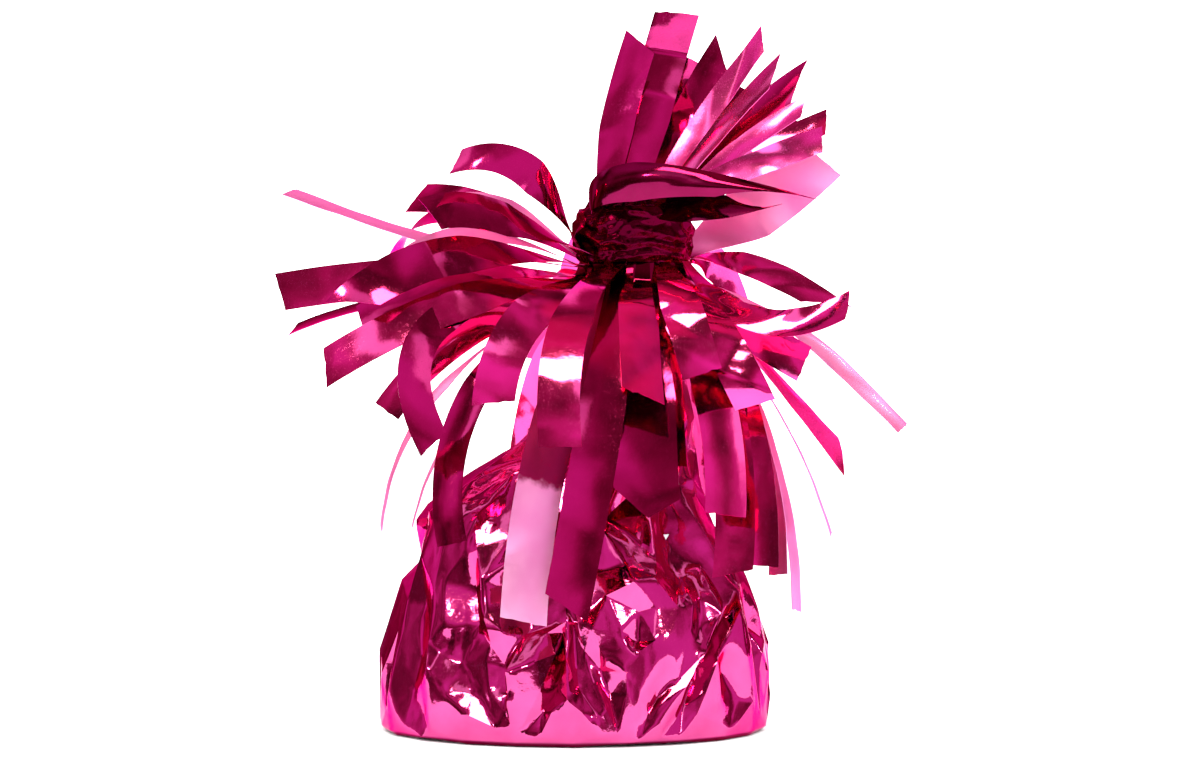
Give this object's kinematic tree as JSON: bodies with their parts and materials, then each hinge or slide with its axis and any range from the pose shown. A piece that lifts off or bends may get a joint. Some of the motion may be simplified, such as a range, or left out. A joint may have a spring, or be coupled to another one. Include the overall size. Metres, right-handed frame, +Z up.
{
  "type": "balloon weight",
  "caption": "Table weight for balloons: a tapered drum wrapped in crumpled metallic foil, gathered to a bound neck with a hanging foil skirt and a leaning foil plume.",
  "frame": {"origin": "centre of the flat face that it stands on", "axes": "+Z up, -Y towards the viewer of the picture, +X to the viewer's right, the way that the plume leans"},
  "size_m": [0.1066, 0.0811, 0.1203],
  "materials": {
    "foil": "polished",
    "card": "matte",
    "tub_plastic": "satin",
    "cement": "matte",
    "wire": "satin"
  },
  "bodies": {
    "weight": {"base_card": "card", "ballast_tub": "tub_plastic", "cement_fill": "cement", "foil_wrap": "foil", "gathered_stem": "foil"},
    "head": {"fringe_header": "foil", "tie_wire": "wire", "binding_band": "foil"},
    "plume": {"plume_rear_strips": "foil", "plume_root": "foil", "plume_strip_1": "foil", "plume_strip_10": "foil", "plume_strip_11": "foil", "plume_strip_2": "foil", "plume_strip_3": "foil", "plume_strip_4": "foil", "plume_strip_5": "foil", "plume_strip_6": "foil", "plume_strip_7": "foil", "plume_strip_8": "foil", "plume_strip_9": "foil"},
    "skirt_left": {"skirt_left_strip_1": "foil", "skirt_left_strip_10": "foil", "skirt_left_strip_11": "foil", "skirt_left_strip_12": "foil", "skirt_left_strip_13": "foil", "skirt_left_strip_14": "foil", "skirt_left_strip_15": "foil", "skirt_left_strip_16": "foil", "skirt_left_strip_17": "foil", "skirt_left_strip_2": "foil", "skirt_left_strip_3": "foil", "skirt_left_strip_4": "foil", "skirt_left_strip_5": "foil", "skirt_left_strip_6": "foil", "skirt_left_strip_7": "foil", "skirt_left_strip_8": "foil", "skirt_left_strip_9": "foil"},
    "skirt_front": {"skirt_front_strip_1": "foil", "skirt_front_strip_2": "foil", "skirt_front_strip_3": "foil", "skirt_front_strip_4": "foil", "skirt_front_strip_5": "foil", "skirt_front_strip_6": "foil", "skirt_front_strip_7": "foil"},
    "skirt_front_right": {"skirt_front_right_strip_1": "foil", "skirt_front_right_strip_2": "foil", "skirt_front_right_strip_3": "foil", "skirt_front_right_strip_4": "foil", "skirt_front_right_strip_5": "foil", "skirt_front_right_strip_6": "foil", "skirt_front_right_strip_7": "foil"},
    "skirt_right": {"skirt_right_strip_1": "foil", "skirt_right_strip_2": "foil", "skirt_right_strip_3": "foil", "skirt_right_strip_4": "foil", "skirt_right_strip_5": "foil", "skirt_right_strip_6": "foil", "skirt_right_strip_7": "foil"},
    "skirt_back": {"skirt_back_rear_strips": "foil"}
  },
  "joints": [
    {"name": "neck_twist", "type": "hinge", "parent": "weight", "child": "head", "pos_m": [0.01, 0, 0.0791], "axis": [0, 0, 1], "range_deg": [-8, 8], "stiffness_Nm_per_rad": 0.05},
    {"name": "plume_lean", "type": "hinge", "parent": "head", "child": "plume", "pos_m": [0.01, 0, 0.0855], "axis": [0, 1, 0], "range_deg": [-12, 6], "stiffness_Nm_per_rad": 0.02},
    {"name": "left_tuft_lift", "type": "hinge", "parent": "head", "child": "skirt_left", "pos_m": [0.001, 0, 0.0791], "axis": [0, 1, 0], "range_deg": [0, 10], "stiffness_Nm_per_rad": 0.01},
    {"name": "front_tuft_lift", "type": "hinge", "parent": "head", "child": "skirt_front", "pos_m": [0.00875, -0.00891, 0.0791], "axis": [-0.9903, 0.1392, 0], "range_deg": [0, 10], "stiffness_Nm_per_rad": 0.01},
    {"name": "front_right_tuft_lift", "type": "hinge", "parent": "head", "child": "skirt_front_right", "pos_m": [0.01763, -0.00477, 0.0791], "axis": [-0.5299, -0.848, 0], "range_deg": [0, 10], "stiffness_Nm_per_rad": 0.01},
    {"name": "right_tuft_lift", "type": "hinge", "parent": "head", "child": "skirt_right", "pos_m": [0.01856, 0.00278, 0.0791], "axis": [0.309, -0.9511, 0], "range_deg": [0, 10], "stiffness_Nm_per_rad": 0.01},
    {"name": "back_tuft_lift", "type": "hinge", "parent": "head", "child": "skirt_back", "pos_m": [0.01, 0.009, 0.0791], "axis": [1, 0, 0], "range_deg": [0, 10], "stiffness_Nm_per_rad": 0.01}
  ]
}
